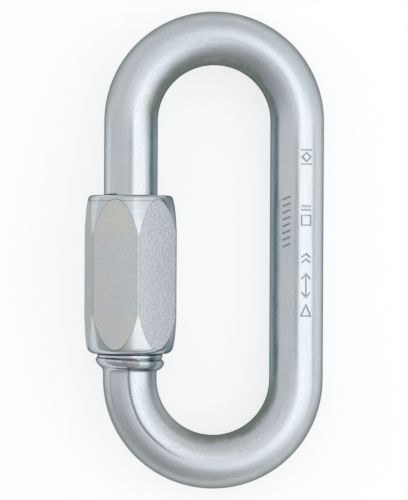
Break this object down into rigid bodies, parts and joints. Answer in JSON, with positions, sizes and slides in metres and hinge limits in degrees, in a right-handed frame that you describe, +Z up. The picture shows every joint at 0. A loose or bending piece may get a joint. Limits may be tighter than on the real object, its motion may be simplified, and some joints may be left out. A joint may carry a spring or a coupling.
{
  "type": "chain quick link",
  "caption": "Oval chain quick link: a round steel bar bent into a loop with a threaded gate, closed by a long hexagonal sleeve nut.",
  "frame": {"origin": "on the floor, at the centre of the resting link's box", "axes": "+Y along the loop towards the crown that the nut opens towards, +Z up from the floor, the nut's leg on -X"},
  "size_m": [0.0446, 0.089, 0.0174],
  "materials": {
    "bar_zinc": "bright zinc plate over drawn steel bar",
    "nut_zinc": "bright zinc plate over fine-grained forged flats and turned ends"
  },
  "bodies": {
    "link": {"link_body": "bar_zinc"},
    "nut": {"sleeve_nut": "nut_zinc"}
  },
  "joints": [
    {"name": "nut_travel", "type": "slide", "parent": "link", "child": "nut", "axis": [0, 1, 0], "range_m": [0, 0.0175]}
  ]
}
